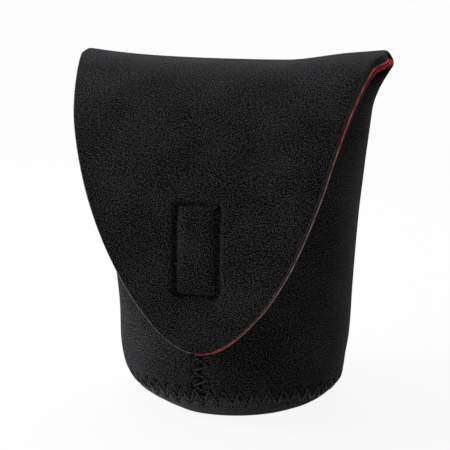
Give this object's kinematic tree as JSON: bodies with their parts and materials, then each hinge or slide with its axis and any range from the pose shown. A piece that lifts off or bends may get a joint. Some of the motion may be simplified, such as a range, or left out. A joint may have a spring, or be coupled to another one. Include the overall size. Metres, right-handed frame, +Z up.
{
  "type": "lens pouch",
  "caption": "Round soft pouch of black neoprene sheet with a red knit lining, a dished sewn base and a rounded flap that closes over the mouth with hook-and-loop tape.",
  "frame": {"origin": "middle of the base's flat underside", "axes": "+Z up through the mouth, -Y to the front where the flap closes, +X to the right seen from the front"},
  "size_m": [0.104, 0.0829, 0.117],
  "materials": {
    "black_neoprene": "black knit face on foam, matt with a faint sheen",
    "red_lining": "red knit, matt",
    "thread": "black sewing thread",
    "hook": "black moulded hooks on a woven tape",
    "loop": "black brushed loop pile"
  },
  "bodies": {
    "pouch": {"wall_panel": "black_neoprene", "wall_lining": "red_lining", "base_disc": "black_neoprene", "base_lining": "red_lining", "fold_panel": "black_neoprene", "fold_lining": "red_lining", "loop_tape": "loop", "front_seam_thread": "thread", "front_seam_bobbin_thread": "thread", "base_seam_thread": "thread", "base_seam_bobbin_thread": "thread", "loop_tape_thread": "thread", "loop_tape_bobbin_thread": "thread"},
    "flap_top": {"flap_top_panel": "black_neoprene", "flap_top_lining": "red_lining", "shoulder_panel": "black_neoprene", "shoulder_lining": "red_lining"},
    "flap_tongue": {"tongue_panel": "black_neoprene", "tongue_lining": "red_lining", "hook_tape": "hook", "hook_tape_thread": "thread", "hook_tape_bobbin_thread": "thread"}
  },
  "joints": [
    {"name": "flap_lift", "type": "hinge", "parent": "pouch", "child": "flap_top", "pos_m": [0, 0, 0.112], "axis": [-1, 0, 0], "range_deg": [0, 125], "deforming": ["fold_panel", "fold_lining"]},
    {"name": "tongue_peel", "type": "hinge", "parent": "flap_top", "child": "flap_tongue", "pos_m": [0, -0.0355, 0.088], "axis": [-1, 0, 0], "range_deg": [0, 75], "deforming": ["shoulder_panel", "shoulder_lining"]}
  ]
}
